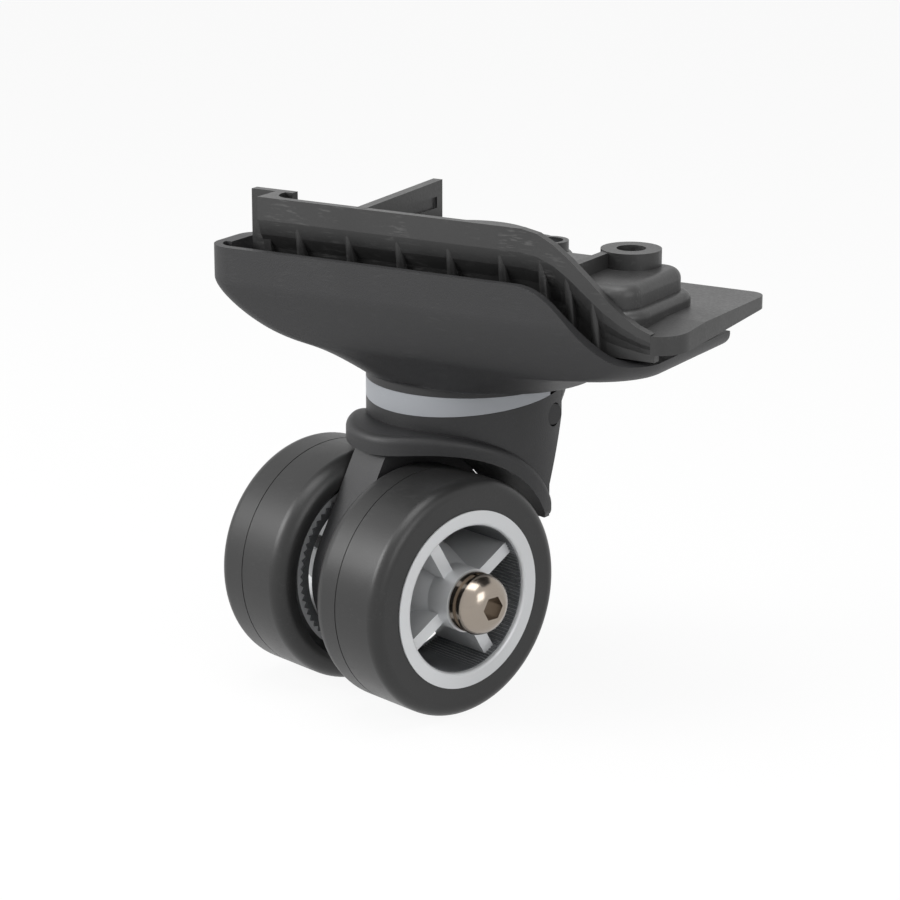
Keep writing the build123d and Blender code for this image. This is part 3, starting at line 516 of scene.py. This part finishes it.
# %% [markdown]
# ### The floor
#
# The floor is one flat grid at the bottom of the tyres. It has to be white and still show where the
# caster stands, so a small part of the real lighting stays in the mix and brings the shadow with it.

# %% Floor
floor_size = 4.0
floor_white = 0.92
floor_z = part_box("near_tyre")[0][2]
floor_form = bmesh.new()
bmesh.ops.create_grid(floor_form, x_segments=1, y_segments=1, size=floor_size)
bmesh.ops.translate(floor_form, verts=floor_form.verts, vec=(0, 0, floor_z))
floor_mesh = bpy.data.meshes.new("floor")
floor_form.to_mesh(floor_mesh)
floor_form.free()
floor = bpy.data.objects.new("floor", floor_mesh)
bpy.context.collection.objects.link(floor)

paper, paper_tree, paper_shader = new_material("floor paper")
paper_shader.inputs["Base Color"].default_value = (0.85, 0.85, 0.85, 1)
paper_shader.inputs["Roughness"].default_value = 0.9
white = add_node(paper_tree, "ShaderNodeEmission", {"Color": (1, 1, 1, 1), "Strength": 1.0})
share = maths(paper_tree, "MULTIPLY", seen_rays(paper_tree), floor_white)
blend = add_node(
    paper_tree, "ShaderNodeMixShader",
    {0: share, 1: paper_shader.outputs["BSDF"], 2: white.outputs["Emission"]},
)
paper_tree.links.new(blend.outputs["Shader"], paper_tree.nodes["Material Output"].inputs["Surface"])
floor_mesh.materials.append(paper)
print("floor at", round(floor_z / mm, 2), "mm")

# %% [markdown]
# ### The world
#
# The world is a plain white surround that lights the caster from all sides. As a light it is much dimmer
# than it looks, so the dark plastic keeps its depth.

# %% World
ambient = 0.32
world = bpy.data.worlds.new("studio")
bpy.context.scene.world = world
world.use_nodes = True
sky = world.node_tree
sky.nodes["Background"].inputs["Color"].default_value = (1, 1, 1, 1)
strength = maths(sky, "MULTIPLY_ADD", seen_rays(sky), 1.0 - ambient, ambient)
sky.links.new(strength, sky.nodes["Background"].inputs["Strength"])
print("ambient:", ambient)


# %% [markdown]
# ### The lamps
#
# Three soft boxes light it: a large one overhead for the even top light, one at the left front for the
# sides of the tyres and housing, and a weaker one at the right for the wheel's face. Area lamps are used
# because small dark parts need broad, soft highlights to show their shape.

# %% Lamps
def soft_box(name, place, aim, size, power):
    """A square area lamp pointed at a place, both in metres."""
    lamp = bpy.data.lights.new(name, "AREA")
    lamp.size = size
    lamp.energy = power
    holder = bpy.data.objects.new(name, lamp)
    holder.location = place
    holder.rotation_euler = (Vector(aim) - Vector(place)).to_track_quat("-Z", "Y").to_euler()
    bpy.context.collection.objects.link(holder)
    print(name, power, "W")


caster_middle = Vector((0, 0, -0.05))
soft_box("overhead", (0.0, -0.1, 0.55), caster_middle, size=0.5, power=3.0)
soft_box("left front", (-0.45, -0.4, 0.25), caster_middle, size=0.3, power=3.0)
soft_box("right", (0.55, -0.25, 0.2), caster_middle, size=0.3, power=1.0)

# %% [markdown]
# ## The camera
#
# A long lens stands about 0.7 m off, a little above the caster and to the right of its front. From that
# far, the two tyres look nearly the same size. The Standard view transform shows colours as they are
# written.

# %% Camera
camera_place = Vector((346.5, -585.1, 143.3)) * mm
camera_aim = Vector((-3.12, -1.87, -51.52)) * mm
lens = bpy.data.cameras.new("camera")
lens.lens = 121.5
lens.sensor_width = 36.0
camera = bpy.data.objects.new("camera", lens)
camera.location = camera_place
camera.rotation_euler = (camera_aim - camera_place).to_track_quat("-Z", "Y").to_euler()
bpy.context.collection.objects.link(camera)
bpy.context.scene.camera = camera
bpy.context.scene.view_settings.view_transform = "Standard"
print("distance:", round((camera_aim - camera_place).length, 3), "m")
